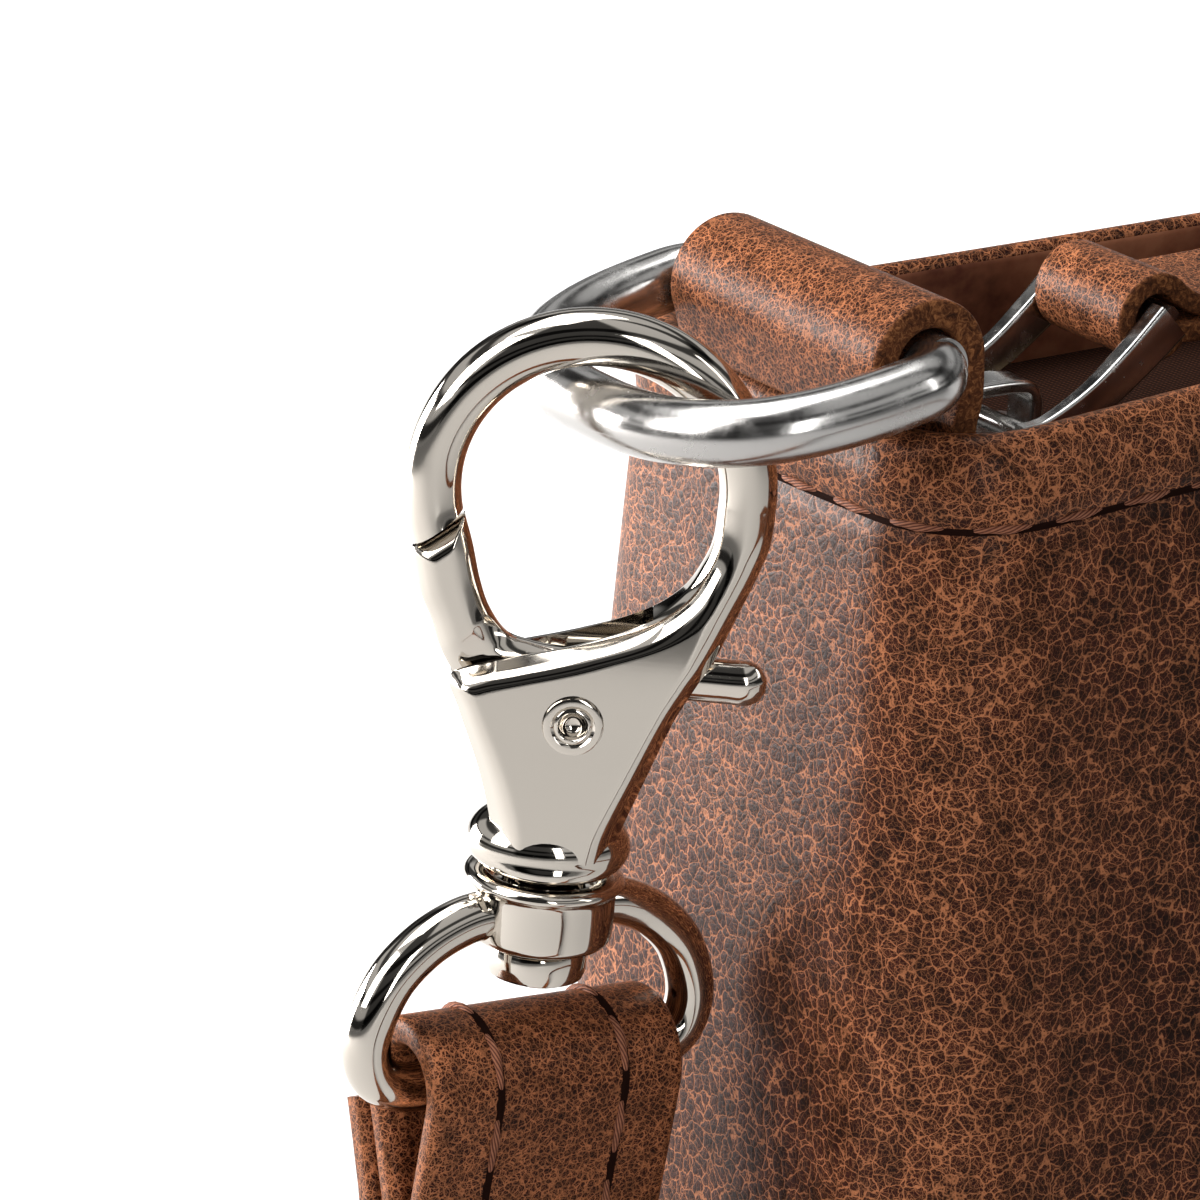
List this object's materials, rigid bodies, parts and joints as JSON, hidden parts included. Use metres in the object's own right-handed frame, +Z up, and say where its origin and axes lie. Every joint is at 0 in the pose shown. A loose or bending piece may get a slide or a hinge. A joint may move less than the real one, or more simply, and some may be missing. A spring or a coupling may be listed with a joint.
{
  "type": "travel document case",
  "caption": "Slim zipped leather case with wire rings at its ends and a long leather shoulder strap on swivel hooks, standing upright.",
  "frame": {"origin": "middle of the case's flat base", "axes": "+X along the case's length to its right end, +Y from front to back, +Z up"},
  "size_m": [0.312, 0.3887, 0.1668],
  "materials": {
    "case_leather": "crackled two-tone leather, dark cells in an orange-brown net, soft sheen",
    "strap_leather": "fine speckled leather with dark raw edges and twisted stitching",
    "nickel": "mirror-polished nickel plate",
    "zip_cloth": "woven brown tape",
    "zip_metal": "antique metal teeth"
  },
  "bodies": {
    "case": {"shell": "case_leather", "zip_tape_front": "zip_cloth", "zip_tape_back": "zip_cloth", "zip_chain": "zip_metal", "zip_slider": "nickel", "tab_left": "case_leather", "tab_right": "case_leather", "d_ring_left": "nickel", "d_ring_right": "nickel", "swivel_eye_left": "nickel", "swivel_eye_right": "nickel", "strap_end_left": "strap_leather", "strap_end_right": "strap_leather", "strap": "strap_leather"},
    "hook_left": {"hook_body_left": "nickel", "hook_rivet_left": "nickel"},
    "hook_right": {"hook_body_right": "nickel", "hook_rivet_right": "nickel"},
    "gate_left": {"hook_gate_left": "nickel"},
    "gate_right": {"hook_gate_right": "nickel"},
    "zip_pull": {"zip_puller": "nickel", "zip_pull_leather": "strap_leather"}
  },
  "joints": [
    {"name": "swivel_left", "type": "hinge", "parent": "case", "child": "hook_left", "pos_m": [-0.1381, -0.0022, 0.1241], "axis": [0.0813, -0.0508, 0.9954], "range_deg": [-10, 10]},
    {"name": "swivel_right", "type": "hinge", "parent": "case", "child": "hook_right", "pos_m": [0.1381, -0.0022, 0.1241], "axis": [0.0813, 0.0508, -0.9954], "range_deg": [-10, 10]},
    {"name": "gate_left", "type": "hinge", "parent": "hook_left", "child": "gate_left", "pos_m": [-0.13629, -0.00333, 0.13796], "axis": [0.5299, 0.848, 0], "range_deg": [0, 20], "stiffness_Nm_per_rad": 0.05, "springref_deg": -20.05},
    {"name": "gate_right", "type": "hinge", "parent": "hook_right", "child": "gate_right", "pos_m": [0.13629, -0.00333, 0.13796], "axis": [0.5299, -0.848, 0], "range_deg": [0, 20], "stiffness_Nm_per_rad": 0.05, "springref_deg": -20.05},
    {"name": "zip_pull", "type": "hinge", "parent": "case", "child": "zip_pull", "pos_m": [-0.1008, 0, 0.1519], "axis": [0, -1, 0], "range_deg": [0, 75]}
  ]
}
